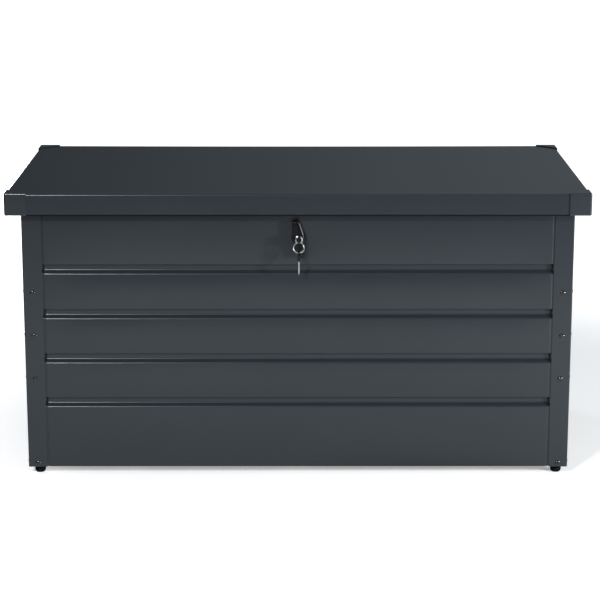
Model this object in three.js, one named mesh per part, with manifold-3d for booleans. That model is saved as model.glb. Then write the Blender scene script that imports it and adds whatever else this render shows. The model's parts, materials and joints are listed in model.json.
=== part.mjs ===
// Deck storage box: a bolted sheet-steel chest on four rubber feet, with a hinged tray lid,
// two gas struts and a key-locking turn handle.
// Millimetres, +Z up, front towards -Y, origin on the ground under the middle of the lid.

import * as THREE from 'three';
import { mergeVertices } from 'three/addons/utils/BufferGeometryUtils.js';
import Module from 'manifold-3d';

const wasm = await Module();
wasm.setup();

// ---------------------------------------------------------------- driving dimensions

const LENGTH = 1200;             // lid, left to right
const DEPTH = 620;               // lid, front to back
const HEIGHT = 610;              // ground to the top of the lid's corner caps
const OVERHANG = 30;             // lid beyond the posts, all round
const GAP = 0.3;                 // between pieces that touch

const SHEET = 0.8;               // walls, floor and lid
const POST_SHEET = 1.2;

const BODY_BOTTOM = 16.5;        // underside of the posts and walls
const WALL_TOP = 594;            // top of the walls, up inside the lid
const POST_FLANGE = 40;

const GROOVES = 4;               // long grooves in each wall
const GROOVE_PITCH = 95.4;
const GROOVE_TOP = 454.5;        // upper edge of the highest groove
const GROOVE_HEIGHT = 19.5;
const GROOVE_DEPTH = 9;
const GROOVE_FLOOR = 12;         // upright back of a groove, above its sloping ledge

const TOP_FLANGE = 12;           // turned in along the top of each wall, with a lip
const TOP_LIP = 10;
const BOTTOM_FLANGE = 15;

const BOLT_INSET = 20;           // bolt line to the post's outer corner
const BOLT_HEIGHTS = [24.6, 209.5, 302, 394.5, 579.4];
const BOLT_HOLE_R = 2.8;

const FOOT_R = 11.5;
const FOOT_INSET = 22;           // foot centre to the post's outer faces
const STUD_R = 3;

const FASCIA_BOTTOM = 565;       // lower edge of the lid's skirt
const LID_HEM = 12;
const CAP = { leg: 45, wall: 2, bottom: 563 };
const RIB_X = 380;

const FLOOR_TOP = 30;
const FLOOR_RAIL_X = 360;

const HINGE = { y: 305.1, z: 559, knuckle: 4.5, bore: 2.4, pin: 2, leaf: 1.6, width: 75 };
const HINGE_XS = { left: -400, middle: 0, right: 400 };

const STRUT_X = 540;
const STRUT_LOWER = { y: HINGE.y - 60, z: HINGE.z - 60 };
const STRUT_UPPER = { y: HINGE.y - 240, z: HINGE.z + 24 };

const LOCK = { x: 2, z: 511 };
const HOUSING = { thread: 11, flange: 15.5, back: 19 };
const HANDLE_TILT = THREE.MathUtils.degToRad(8);

const KEY = { thick: 2, bow: 9.5, rim: 2.2, hole: 4, blade: 7.4, bladeLength: 31 };
const RING = { radius: 11, wire: 1 };

// Planes that several pieces share.
const BODY_X = LENGTH / 2 - OVERHANG;              // outer face of the posts
const BODY_Y = DEPTH / 2 - OVERHANG;
const WALL_X = BODY_X - POST_SHEET - GAP;          // outer face of the side walls
const WALL_Y = BODY_Y - POST_SHEET - GAP;
const LID_X = LENGTH / 2 - CAP.wall - GAP;         // outer face of the lid sheet
const LID_Y = DEPTH / 2 - CAP.wall - GAP;
const LID_TOP = HEIGHT - CAP.wall - GAP;
const LID_UNDERSIDE = LID_TOP - SHEET;
const LOCK_FACE = -WALL_Y;                         // outer face of the front wall
const TAB_TOP = BODY_BOTTOM + POST_SHEET;          // tab that holds each foot

// ---------------------------------------------------------------- materials

const finish = (color, roughness, metalness) =>
  new THREE.MeshStandardMaterial({ color, roughness, metalness });

const paint = finish(0x383e42, 0.5, 0.2);
const plastic = finish(0x2e3235, 0.55, 0);
const black = finish(0x17181a, 0.45, 0);
const rubber = finish(0x141414, 0.85, 0);
const zinc = finish(0xb4b8ba, 0.4, 0.9);
const chrome = finish(0xd8dadc, 0.15, 1);
const strutPaint = finish(0x1b1c1e, 0.35, 0.3);

// ---------------------------------------------------------------- geometry helpers

// A closed geometry as a manifold-3d solid, and back.
function toSolid(geometry) {
  const bare = geometry.clone();
  bare.deleteAttribute('normal');
  bare.deleteAttribute('uv');
  const merged = mergeVertices(bare, 1e-4);
  return new wasm.Manifold(new wasm.Mesh({
    numProp: 3,
    vertProperties: new Float32Array(merged.attributes.position.array),
    triVerts: new Uint32Array(merged.index.array),
  }));
}

function toGeometry(solid) {
  const mesh = solid.getMesh();
  const geometry = new THREE.BufferGeometry();
  geometry.setAttribute('position', new THREE.BufferAttribute(mesh.vertProperties, 3));
  geometry.setIndex(new THREE.BufferAttribute(mesh.triVerts, 1));
  geometry.computeVertexNormals();
  return geometry;
}

function join(first, ...others) {
  return toGeometry(others.reduce((whole, part) => whole.add(toSolid(part)), toSolid(first)));
}

function cut(body, ...tools) {
  return toGeometry(tools.reduce((rest, tool) => rest.subtract(toSolid(tool)), toSolid(body)));
}

function block(x0, x1, y0, y1, z0, z1) {
  const box = new THREE.BoxGeometry(Math.abs(x1 - x0), Math.abs(y1 - y0), Math.abs(z1 - z0));
  return box.translate((x0 + x1) / 2, (y0 + y1) / 2, (z0 + z1) / 2);
}

// Prisms: an outline in the plane across one axis, extruded along that axis.
function extrude(shape, length, options = {}) {
  return new THREE.ExtrudeGeometry(shape, { depth: length, bevelEnabled: false, ...options });
}

function outlineShape(points) {
  return new THREE.Shape(points.map(([u, v]) => new THREE.Vector2(u, v)));
}

function turned(geometry, u, v, w) {
  const axes = { x: [1, 0, 0], y: [0, 1, 0], z: [0, 0, 1], '-y': [0, -1, 0] };
  const [a, b, c] = [u, v, w].map((name) => new THREE.Vector3(...axes[name]));
  return geometry.applyMatrix4(new THREE.Matrix4().makeBasis(a, b, c));
}

const prismX = (yz, x0, x1) =>
  turned(extrude(outlineShape(yz), x1 - x0), 'y', 'z', 'x').translate(x0, 0, 0);
const prismY = (xz, y0, y1) =>
  turned(extrude(outlineShape(xz), y1 - y0), 'x', 'z', '-y').translate(0, y1, 0);
const prismZ = (xy, z0, z1) => extrude(outlineShape(xy), z1 - z0).translate(0, 0, z0);

// Round bars and turned pieces along each axis; a profile is a list of [radius, position].
function rod(axis, radius, from, to, segments = 12) {
  const bar = new THREE.CylinderGeometry(radius, radius, to - from, segments);
  bar.translate(0, (from + to) / 2, 0);
  if (axis === 'x') bar.rotateZ(-Math.PI / 2);
  if (axis === 'z') bar.rotateX(Math.PI / 2);
  return bar;
}

function lathe(profile, segments = 16) {
  const solidCore = profile[0][0] === 0;
  const loop = solidCore ? profile : [...profile, profile[0]];
  const points = loop.map(([radius, along]) => new THREE.Vector2(radius, along));
  return new THREE.LatheGeometry(points, segments);
}

const latheZ = (profile, segments) => lathe(profile, segments).rotateX(Math.PI / 2);

// The outline of a bent sheet: the given line, and the same line offset to its left.
function sheetOutline(line, thickness) {
  const normals = line.slice(1).map(([u, v], i) => {
    const [du, dv] = [u - line[i][0], v - line[i][1]];
    const length = Math.hypot(du, dv);
    return [-dv / length, du / length];
  });
  const offset = line.map(([u, v], i) => {
    const before = normals[Math.max(i - 1, 0)];
    const after = normals[Math.min(i, normals.length - 1)];
    const k = thickness / (1 + before[0] * after[0] + before[1] * after[1]);
    return [u + (before[0] + after[0]) * k, v + (before[1] + after[1]) * k];
  });
  return [...line, ...offset.reverse()];
}

// Mirrors a geometry across a plane through the origin, keeping its faces pointing out.
function mirror(geometry, sx, sy) {
  geometry.scale(sx, sy, 1);
  if (sx * sy > 0) return geometry;
  const plain = geometry.index ? geometry.toNonIndexed() : geometry;
  const position = plain.attributes.position;
  for (let i = 0; i < position.count; i += 3) {
    const a = new THREE.Vector3().fromBufferAttribute(position, i);
    const b = new THREE.Vector3().fromBufferAttribute(position, i + 1);
    position.setXYZ(i, b.x, b.y, b.z);
    position.setXYZ(i + 1, a.x, a.y, a.z);
  }
  plain.computeVertexNormals();
  return plain;
}

const box = new THREE.Group();

function add(name, geometry, material) {
  const mesh = new THREE.Mesh(geometry, material);
  mesh.name = name;
  box.add(mesh);
  return mesh;
}

const SIDES = [['left', -1], ['right', 1]];
const CORNERS = [
  ['front_left', -1, -1], ['front_right', 1, -1],
  ['rear_left', -1, 1], ['rear_right', 1, 1],
];

// ---------------------------------------------------------------- posts and feet

// Each corner piece is drawn at the rear right corner and mirrored to the others.
function post() {
  const inner = POST_SHEET;
  const angle = prismZ([
    [BODY_X, BODY_Y], [BODY_X - POST_FLANGE, BODY_Y], [BODY_X - POST_FLANGE, BODY_Y - inner],
    [BODY_X - inner, BODY_Y - inner], [BODY_X - inner, BODY_Y - POST_FLANGE],
    [BODY_X, BODY_Y - POST_FLANGE],
  ], BODY_BOTTOM, WALL_TOP);
  const tab = block(BODY_X - POST_FLANGE + 1, BODY_X - inner / 2,
    BODY_Y - POST_FLANGE + 1, BODY_Y - inner / 2, BODY_BOTTOM, TAB_TOP);
  const holes = BOLT_HEIGHTS.flatMap((z) => boltHoles(z));
  const footHole = rod('z', STUD_R + 0.4, BODY_BOTTOM - 5, BODY_BOTTOM + 5, 10)
    .translate(BODY_X - FOOT_INSET, BODY_Y - FOOT_INSET, 0);
  return cut(join(angle, tab), ...holes, footHole);
}

// The two clearance holes at one height, through the rear and the side of the corner.
function boltHoles(z) {
  return [
    rod('y', BOLT_HOLE_R, BODY_Y - 5, BODY_Y + 5, 8).translate(BODY_X - BOLT_INSET, 0, z),
    rod('x', BOLT_HOLE_R, BODY_X - 5, BODY_X + 5, 8).translate(0, BODY_Y - BOLT_INSET, z),
  ];
}

function foot() {
  const top = BODY_BOTTOM - GAP;
  return latheZ([
    [0, 0], [8, 0], [10, 1.5], [FOOT_R, 6], [FOOT_R, 14], [FOOT_R - 1.5, top],
    [STUD_R, top], [STUD_R, top + 9.5], [0, top + 9.5],
  ], 12);
}

// A hexagon nut standing on z = 0.
function hexNut(radius, hole, height, holeSides) {
  return cut(rod('z', radius, 0, height, 6), rod('z', hole, -1, height + 1, holeSides));
}

for (const [corner, sx, sy] of CORNERS) {
  add(`post_${corner}`, mirror(post(), sx, sy), paint);
  const [x, y] = [sx * (BODY_X - FOOT_INSET), sy * (BODY_Y - FOOT_INSET)];
  add(`foot_${corner}`, foot(), rubber).position.set(x, y, 0);
  add(`foot_nut_${corner}`, hexNut(5.8, STUD_R + 0.5, 4.5, 8), zinc)
    .position.set(x, y, TAB_TOP + GAP);
}

// ---------------------------------------------------------------- walls

// One wall's section as [depth behind the outer face, height], from the top lip down.
function wallLine() {
  const line = [[TOP_FLANGE, WALL_TOP - TOP_LIP], [TOP_FLANGE, WALL_TOP], [0, WALL_TOP]];
  for (let i = 0; i < GROOVES; i += 1) {
    const top = GROOVE_TOP - i * GROOVE_PITCH;
    line.push([0, top], [GROOVE_DEPTH, top - 1], [GROOVE_DEPTH, top - 1 - GROOVE_FLOOR]);
    line.push([0, top - GROOVE_HEIGHT]);
  }
  line.push([0, BODY_BOTTOM], [BOTTOM_FLANGE, BODY_BOTTOM]);
  return line;
}

// A wall on the +Y side with its outer face at y = face, between posts whose outer corners are
// at x = -corner and corner. It ends behind their flanges; its own flanges stop short of them.
function wall(face, corner) {
  const halfLength = corner - POST_SHEET - GROOVE_DEPTH - 3;
  const outline = sheetOutline(wallLine(), SHEET).map(([depth, z]) => [face - depth, z]);
  const sheet = prismX(outline, -halfLength, halfLength);
  const ends = [-1, 1].flatMap((s) => {
    const [near, far] = [s * (corner - POST_FLANGE - 1), s * (halfLength + 5)];
    const bolts = BOLT_HEIGHTS.map((z) =>
      rod('y', BOLT_HOLE_R, face - 5, face + 5, 8).translate(s * (corner - BOLT_INSET), 0, z));
    return [
      block(near, far, face - 40, face - SHEET, WALL_TOP - TOP_LIP - 5, WALL_TOP + 5),
      block(near, far, face - 40, face + 5, BODY_BOTTOM - 5, TAB_TOP + GAP),
      ...bolts,
    ];
  });
  return cut(sheet, ...ends);
}

// A side wall is drawn on the +Y side too, then turned to face +X.
function sideWall() {
  return wall(WALL_X, BODY_Y).rotateZ(-Math.PI / 2);
}

function frontWall() {
  const { x, z } = LOCK;
  const lockHole = rod('y', HOUSING.thread + 0.5, LOCK_FACE - 5, LOCK_FACE + 5, 16);
  return cut(mirror(wall(WALL_Y, BODY_X), 1, -1), lockHole.translate(x, 0, z));
}

add('front_panel', frontWall(), paint);
add('rear_panel', wall(WALL_Y, BODY_X), paint);
add('right_panel', sideWall(), paint);
add('left_panel', mirror(sideWall(), -1, 1), paint);

// ---------------------------------------------------------------- floor

// The outline of the floor, with a square corner cut away round each foot's nut.
function floorOutline(inset) {
  const clear = 0.7;
  const [x, y] = [WALL_X - SHEET - clear - inset, WALL_Y - SHEET - clear - inset];
  const notch = POST_FLANGE + 1 + inset;
  const [nx, ny] = [BODY_X - notch, BODY_Y - notch];
  return [
    [x, ny], [nx, ny], [nx, y], [-nx, y], [-nx, ny], [-x, ny],
    [-x, -ny], [-nx, -ny], [-nx, -y], [nx, -y], [nx, -ny], [x, -ny],
  ];
}

function floorPanel() {
  const skirtBottom = BODY_BOTTOM + SHEET + GAP;
  return cut(
    prismZ(floorOutline(0), skirtBottom, FLOOR_TOP),
    prismZ(floorOutline(SHEET), skirtBottom - 5, FLOOR_TOP - SHEET),
  );
}

function floorRail(x) {
  const bottom = BODY_BOTTOM + SHEET + GAP;
  const top = FLOOR_TOP - SHEET - GAP;
  const foot = bottom + SHEET;
  const line = [[32, foot], [20, foot], [20, top], [-20, top], [-20, foot], [-32, foot]];
  const halfLength = WALL_Y - 2 * SHEET - 2;
  return prismY(sheetOutline(line, SHEET), -halfLength, halfLength).translate(x, 0, 0);
}

add('floor_panel', floorPanel(), paint);
for (const [name, x] of [['left', -FLOOR_RAIL_X], ['middle', 0], ['right', FLOOR_RAIL_X]]) {
  add(`floor_rail_${name}`, floorRail(x), zinc);
}

// ---------------------------------------------------------------- lid

function lidPanel() {
  const slab = (inset, z0, z1) => block(-LID_X + inset, LID_X - inset, -LID_Y + inset,
    LID_Y - inset, z0, z1);
  return cut(
    slab(0, FASCIA_BOTTOM, LID_TOP),
    slab(SHEET, FASCIA_BOTTOM + SHEET, LID_UNDERSIDE),
    slab(LID_HEM, FASCIA_BOTTOM - 5, FASCIA_BOTTOM + 5),
  );
}

function lidRib(x) {
  const top = LID_UNDERSIDE - GAP;
  const web = top - 7;
  const line = [[30, top], [18, top], [18, web], [-18, web], [-18, top], [-30, top]];
  return prismY(sheetOutline(line, SHEET), -LID_Y + 14, LID_Y - 14).translate(x, 0, 0);
}

// A moulded cap over one corner of the lid: two walls and a three-cornered top.
function lidCap() {
  const [x, y] = [LENGTH / 2, DEPTH / 2];
  const corner = block(x - CAP.leg, x, y - CAP.leg, y, CAP.bottom, HEIGHT);
  const hollow = block(x - CAP.leg - 5, x - CAP.wall, y - CAP.leg - 5, y - CAP.wall,
    CAP.bottom - 5, HEIGHT - CAP.wall);
  const diagonal = prismZ([
    [x - CAP.leg - 5, y + 5], [x - CAP.leg - 5, y - CAP.leg - 5], [x + 5, y - CAP.leg - 5],
  ], HEIGHT - CAP.wall, HEIGHT + 5);
  return cut(corner, hollow, diagonal);
}

add('lid_panel', lidPanel(), paint);
for (const [name, x] of [['left', -RIB_X], ['middle', 0], ['right', RIB_X]]) {
  add(`lid_rib_${name}`, lidRib(x), zinc);
}
for (const [corner, sx, sy] of CORNERS) {
  add(`lid_cap_${corner}`, mirror(lidCap(), sx, sy), plastic);
}

// Rubber stops on the front wall's top flange, where the closed lid rests.
for (const [side, sx] of SIDES) {
  const [bottom, top] = [WALL_TOP + GAP, LID_UNDERSIDE - GAP];
  const stop = latheZ([[0, bottom], [5.8, bottom], [5.8, top - 2], [4.5, top], [0, top]], 12);
  add(`bumper_${side}`, stop, rubber).position.set(sx * 250, -(WALL_Y - 6), 0);
}

// ---------------------------------------------------------------- hinges

// Drawn about the pin, which lies along X; the knuckles share the width in thirds.
function wallLeaf() {
  const [half, third] = [HINGE.width / 2, HINGE.width / 6];
  const wallFace = -(HINGE.y - WALL_Y - GAP);        // leaf's back, against the rear wall
  const under = -HINGE.knuckle;
  const arm = sheetOutline([
    [wallFace, under - 28], [wallFace, under + HINGE.leaf], [-6.5, under + HINGE.leaf],
  ], -HINGE.leaf);
  const leaf = prismX(arm, -half, half);
  const straps = [[-half, -third - GAP], [third + GAP, half]].map(([x0, x1]) => join(
    block(x0, x1, wallFace / 2, 0, under, under + HINGE.leaf),
    rod('x', HINGE.knuckle, x0, x1),
  ));
  return cut(join(leaf, ...straps), rod('x', HINGE.bore, -half - 1, half + 1));
}

function lidLeaf() {
  const [half, third] = [HINGE.width / 2, HINGE.width / 6];
  const [inner, outer] = [HINGE.knuckle - HINGE.leaf, HINGE.knuckle];
  const leaf = block(-half, half, inner, outer, 6.5, 40);
  const strap = block(-third, third, inner, outer, 0, 8);
  return cut(join(leaf, strap, rod('x', HINGE.knuckle, -third, third)),
    rod('x', HINGE.bore, -third - 1, third + 1));
}

for (const [name, x] of Object.entries(HINGE_XS)) {
  const half = HINGE.width / 2 + 1.5;
  const pieces = [
    [`hinge_${name}_wall_leaf`, wallLeaf()],
    [`hinge_${name}_lid_leaf`, lidLeaf()],
    [`hinge_${name}_pin`, rod('x', HINGE.pin, -half, half)],
  ];
  for (const [node, geometry] of pieces) {
    add(node, geometry, zinc).position.set(x, HINGE.y, HINGE.z);
  }
}

// ---------------------------------------------------------------- gas struts

// The cylinder and the rod are drawn along +Z from the lower stud, then leant forward.
const strutLine = new THREE.Vector2(STRUT_UPPER.y - STRUT_LOWER.y, STRUT_UPPER.z - STRUT_LOWER.z);
const STRUT_CLOSED = strutLine.length();
const STRUT_LEAN = strutLine.angle() - Math.PI / 2;
const CYLINDER_END = 150;
const STRUT_EYE = 5;                                 // half the width of an end eye

function strutCylinder() {
  const end = CYLINDER_END;
  const tube = latheZ([
    [0, 6], [5, 6], [5, 10], [9, 13], [9, end], [4.4, end], [4.4, end - 4], [7.5, end - 4],
    [7.5, 17], [0, 17],
  ]);
  const eye = rod('x', 8, -STRUT_EYE, STRUT_EYE);
  return cut(join(tube, eye), rod('x', 4.6, -STRUT_EYE - 1, STRUT_EYE + 1));
}

function strutRod(outward) {
  const end = STRUT_CLOSED;
  const shaft = latheZ([[0, 24], [7, 24], [7, 30], [4, 30], [4, end], [0, end]]);
  const eye = rod('x', 7, -STRUT_EYE, STRUT_EYE).translate(0, 0, end);
  const stud = rod('x', 3, 0, STRUT_EYE + 3).translate(0, 0, end);
  return mirror(join(shaft, eye, stud), outward, 1);
}

// Screwed to the side wall, with the stud that the cylinder turns on.
function strutWallBracket(outward) {
  const { y, z } = STRUT_LOWER;
  const back = WALL_X - SHEET - GAP;
  const plate = block(back - 1.5, back, y - 20, y + 20, z - 20, z + 20);
  const shoulder = rod('x', 7, STRUT_X + STRUT_EYE + 1, back - 1).translate(0, y, z);
  const stud = rod('x', 4.1, STRUT_X - STRUT_EYE, back - 1).translate(0, y, z);
  return mirror(join(plate, shoulder, stud), outward, 1);
}

function strutLidBracket(outward) {
  const { y, z } = STRUT_UPPER;
  const top = LID_UNDERSIDE - GAP;
  const near = STRUT_X + 9;
  const foot = block(near, near + 26, y - 15, y + 15, top - 2, top);
  const plate = block(near, near + 2, y - 15, y + 15, z - 10, top);
  return mirror(join(foot, plate), outward, 1);
}

for (const [side, outward] of SIDES) {
  add(`strut_${side}_wall_bracket`, strutWallBracket(outward), zinc);
  add(`strut_${side}_lid_bracket`, strutLidBracket(outward), zinc);
  const moving = [
    [`strut_${side}_cylinder`, strutCylinder(), strutPaint],
    [`strut_${side}_rod`, strutRod(outward), chrome],
  ];
  for (const [node, geometry, material] of moving) {
    const mesh = add(node, geometry, material);
    mesh.position.set(outward * STRUT_X, STRUT_LOWER.y, STRUT_LOWER.z);
    mesh.rotation.x = STRUT_LEAN;
  }
}

// ---------------------------------------------------------------- lock

// Everything on the lock's axis is drawn with depth counted back from the wall's outer face.
const SPINDLE = { radius: 7.6, back: 21 };
const HANDLE = { half: 39.5, waist: 12.5, end: 7, front: -20, back: -5 };
const PLUG = { front: -21.5, headBack: -10.5, back: 11, head: 8, shank: 5.4 };

function atLock(name, geometry, material) {
  const mesh = add(name, geometry, material);
  mesh.position.set(LOCK.x, LOCK_FACE, LOCK.z);
  return mesh;
}

function lockHousing() {
  const bore = SPINDLE.radius + 0.4;
  const { thread, flange, back } = HOUSING;
  return lathe([
    [bore, -3.3], [flange - 1, -3.3], [flange, -2.3], [flange, -GAP], [thread, -GAP],
    [thread, back], [bore, back],
  ]);
}

function handleOutline() {
  const { half, waist, end } = HANDLE;
  const bulge = 2 * waist - end;
  const shape = new THREE.Shape();
  shape.moveTo(-end, half - 4);
  shape.quadraticCurveTo(-end, half, -end + 4, half);
  shape.lineTo(end - 4, half);
  shape.quadraticCurveTo(end, half, end, half - 4);
  shape.quadraticCurveTo(bulge, 0, end, -half + 4);
  shape.quadraticCurveTo(end, -half, end - 4, -half);
  shape.lineTo(-end + 4, -half);
  shape.quadraticCurveTo(-end, -half, -end, -half + 4);
  shape.quadraticCurveTo(-bulge, 0, -end, half - 4);
  return shape;
}

// The winged handle with its spindle, bored in front for the key plug and behind for a screw.
function turnHandle() {
  const { front, back } = HANDLE;
  const bevel = 1.5;
  const wings = extrude(handleOutline(), back - front - 2 * bevel, {
    bevelEnabled: true, bevelThickness: bevel, bevelSize: bevel, bevelOffset: -bevel,
    bevelSegments: 1, curveSegments: 5,
  });
  turned(wings, 'x', 'z', '-y').translate(0, back - bevel, 0);
  const spindle = lathe([
    [0, -8], [11, -8], [11, -3.7], [SPINDLE.radius, -3.7], [SPINDLE.radius, SPINDLE.back],
    [2.4, SPINDLE.back], [2.4, 14], [0, 14],
  ]);
  const plugBores = [
    rod('y', PLUG.head + 0.4, front - 5, PLUG.headBack + GAP, 16),
    rod('y', PLUG.shank + 0.4, front, PLUG.back + 0.4, 16),
  ];
  return cut(join(wings, spindle), ...plugBores);
}

// The cylinder that the key turns, with an upright slot for the blade.
function lockPlug() {
  const { front, headBack, back, head, shank } = PLUG;
  const plug = lathe([
    [0, front], [head - 0.8, front], [head, front + 0.8], [head, headBack],
    [shank, headBack], [shank, back], [0, back],
  ]);
  const slot = block(-1.35, 1.35, front - 1, back - 1, -4.3, 4.3);
  return cut(plug, slot);
}

// A plate that stands up when the lock is open and swings level to hold the keeper.
const CAM = { near: SPINDLE.back + GAP, thick: 2.5, half: 8, reach: 50 };

function lockCam() {
  const { near, thick, half, reach } = CAM;
  const shape = new THREE.Shape();
  shape.absarc(0, 0, half, Math.PI, 2 * Math.PI, false);
  shape.lineTo(half, reach);
  shape.lineTo(-half, reach);
  shape.closePath();
  const hole = new THREE.Path();
  hole.absarc(0, 0, 2.4, 0, 2 * Math.PI, true);
  shape.holes.push(hole);
  const plate = extrude(shape, thick, { curveSegments: 5 });
  return turned(plate, 'x', 'z', '-y').translate(0, near + thick, 0);
}

function camScrew() {
  const head = CAM.near + CAM.thick + GAP;
  return lathe([
    [0, 15], [1.9, 15], [1.9, head], [4.5, head], [4.5, head + 2.5], [0, head + 2.5],
  ], 12);
}

// A bent strip under the lid; its hooked foot lies below the level cam.
function keeper() {
  const top = LID_UNDERSIDE - GAP;
  const hook = LOCK.z - CAM.half - 1.5;
  const [front, back] = [LOCK_FACE + 15.5, LOCK_FACE + 30];
  const line = [[back, top], [front, top], [front, hook - 1.5], [back, hook - 1.5]];
  return prismX(sheetOutline(line, 1.5), LOCK.x - 54, LOCK.x - 34);
}

atLock('lock_housing', lockHousing(), black);
const lockNut = hexNut(15, HOUSING.thread + 0.5, 4.5, 16).rotateX(-Math.PI / 2);
atLock('lock_nut', lockNut.translate(0, SHEET + GAP, 0), zinc);
atLock('turn_handle', turnHandle(), black).rotation.y = -HANDLE_TILT;
atLock('lock_plug', lockPlug(), chrome);
atLock('lock_cam', lockCam(), zinc);
atLock('cam_screw', camScrew(), zinc);
add('keeper', keeper(), zinc);

// ---------------------------------------------------------------- keys

// Both keys are drawn hanging from their ring hole, which is at the origin.
const BOW_CENTRE = -(KEY.bow - KEY.hole - KEY.rim);
const SHOULDER = BOW_CENTRE - Math.sqrt(KEY.bow ** 2 - (KEY.blade / 2) ** 2);

function flatKey() {
  const { bow, hole, blade, bladeLength } = KEY;
  const half = blade / 2;
  const tip = SHOULDER - bladeLength;
  const neck = Math.asin(half / bow);
  const shape = new THREE.Shape();
  shape.absarc(0, BOW_CENTRE, bow, -Math.PI / 2 + neck, Math.PI * 1.5 - neck, false);
  shape.lineTo(-half, tip + 3);
  shape.lineTo(-0.8, tip);
  shape.lineTo(0.8, tip);
  shape.lineTo(half, tip + 3);
  shape.closePath();
  const ringHole = new THREE.Path();
  ringHole.absarc(0, 0, hole, 0, 2 * Math.PI, true);
  shape.holes.push(ringHole);
  const plate = extrude(shape, KEY.thick, { curveSegments: 8 });
  return turned(plate.translate(0, 0, -KEY.thick / 2), 'y', 'z', 'x');
}

// The ring rests in the lower side of one hole, and the spare key hangs by the upper side of its own.
const SLACK = KEY.hole - RING.wire - 0.35;
const KEY_HOLE_Y = LOCK_FACE + PLUG.front - 0.4 + SHOULDER;
const ringZ = LOCK.z - SLACK - RING.radius;
const ring = new THREE.TorusGeometry(RING.radius, RING.wire, 8, 24).rotateX(Math.PI / 2);

add('key', flatKey().rotateX(Math.PI / 2), chrome).position.set(LOCK.x, KEY_HOLE_Y, LOCK.z);
add('key_ring', ring, chrome).position.set(LOCK.x, KEY_HOLE_Y, ringZ);
add('spare_key', flatKey(), chrome)
  .position.set(LOCK.x, KEY_HOLE_Y, ringZ - RING.radius - SLACK);

export default box;
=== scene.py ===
"""Looks of the deck storage box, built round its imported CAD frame.

Shapes are drawn in millimetres in the frame's axes (+X right, +Y back, +Z up) and put into the scene
in metres. A shape is a pair: a list of points and a list of faces that index them.
"""

import json
import math

import bmesh
import bpy
from mathutils import Matrix, Vector, noise


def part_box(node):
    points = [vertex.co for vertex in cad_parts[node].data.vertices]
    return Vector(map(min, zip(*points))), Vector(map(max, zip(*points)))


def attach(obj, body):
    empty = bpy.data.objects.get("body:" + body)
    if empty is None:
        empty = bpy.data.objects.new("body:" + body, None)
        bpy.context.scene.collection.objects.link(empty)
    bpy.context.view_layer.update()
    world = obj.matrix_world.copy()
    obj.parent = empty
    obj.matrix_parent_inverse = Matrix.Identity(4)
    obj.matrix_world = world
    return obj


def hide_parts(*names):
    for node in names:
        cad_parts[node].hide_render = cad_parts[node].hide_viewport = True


MM = 0.001
TAU = math.tau

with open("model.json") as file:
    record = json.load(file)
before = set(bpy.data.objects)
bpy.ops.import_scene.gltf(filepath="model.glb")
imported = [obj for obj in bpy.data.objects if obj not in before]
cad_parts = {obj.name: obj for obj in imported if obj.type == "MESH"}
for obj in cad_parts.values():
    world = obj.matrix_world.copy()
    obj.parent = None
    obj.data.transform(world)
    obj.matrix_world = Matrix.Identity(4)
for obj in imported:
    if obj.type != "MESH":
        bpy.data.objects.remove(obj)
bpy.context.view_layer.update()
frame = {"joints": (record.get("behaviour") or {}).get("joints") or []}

# ---- dimensions (mm)

SHEET = 0.8  # walls, floor and lid
POST_SHEET = 1.2
POST_FLANGE = 40
POST_GAP = 0.3  # between a post and the wall or foot beside it
BEND = 1.1  # inner radius of a fold in the thin sheet

GROOVES = 4  # long grooves in each wall
GROOVE_PITCH = 95.4
GROOVE_TOP = 454.5
GROOVE_HEIGHT = 19.5
GROOVE_DEPTH = 9
GROOVE_FLOOR = 12  # upright back of a groove, above its sloping ledge
TOP_FLANGE = 12
TOP_LIP = 10
BOTTOM_FLANGE = 15
WALL_BOW = 1.3  # the flats between grooves bulge a little,
BOW_FADE = 70  # less and less towards the posts
CLAMP_REACH = 50  # and not round the lock and the hinges
JOGGLE = 1.2  # the sheet dips beside the posts,
JOGGLE_WIDTH = 2.4  # in a narrow line

BOLT_INSET = 20
BOLT_HEIGHTS = (24.6, 209.5, 302, 394.5, 579.4)
BOLT_R = 5.5
BOLT_REACH = 8
WASHER = 0.8
STUD_R = 3  # of the feet
STUD_PITCH = 1.0

LID_HEM = 12
LID_SAG = 1.0  # middle of the lid below its rim
LID_DROOP = 1.1  # middle of the lid's rear edge below its corners
LID_RIPPLE = 0.12  # unevenness of the lid's plate
LID_STIFF_RIM = 40  # the plate is even this near to its edges
LID_CORNER = 1.6
CAP_LEG = 45
CAP_WALL = 1.8
CAP_TOP = 1.95  # thickness of a cap's top
CAP_CURL = 3.2  # width of its rounded rim
RIB_SPOTS = 8  # weld spots along a rib's brim

KEY_BOW = 9.5  # radius of the head
KEY_HOLE = 4
KEY_RIM = 2.2  # beside the hole
KEY_BLADE = 7.4
KEY_THICK = 2
KEY_HEAD = 4.2  # thickness of the moulded head
KEY_REACH = 30.2  # blade length beyond the head
RING_R = 11

SIDES = (("left", -1), ("right", 1))
PLACES = ("left", "middle", "right")
CORNERS = (("front_left", -1, -1), ("front_right", 1, -1), ("rear_left", -1, 1), ("rear_right", 1, 1))


def node_box(node):
    """Lowest and highest corner of a CAD node, in millimetres."""
    low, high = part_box(node)
    return low / MM, high / MM


def node_centre(node):
    low, high = node_box(node)
    return (low + high) / 2


def joint(name):
    return next(j for j in frame["joints"] if j["name"] == name)


# ---- shape helpers


def merge(*shapes):
    points, faces = [], []
    for more_points, more_faces in shapes:
        start = len(points)
        points += [Vector(p) for p in more_points]
        faces += [[start + i for i in face] for face in more_faces]
    return points, faces


def moved(shape, matrix):
    points, faces = shape
    return [matrix @ Vector(p) for p in points], faces


def at(x, y, z):
    return Matrix.Translation((x, y, z))


def aimed(direction):
    """The rotation that turns local +Z towards a direction."""
    return Vector(direction).to_track_quat("Z", "Y").to_matrix().to_4x4()


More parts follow.
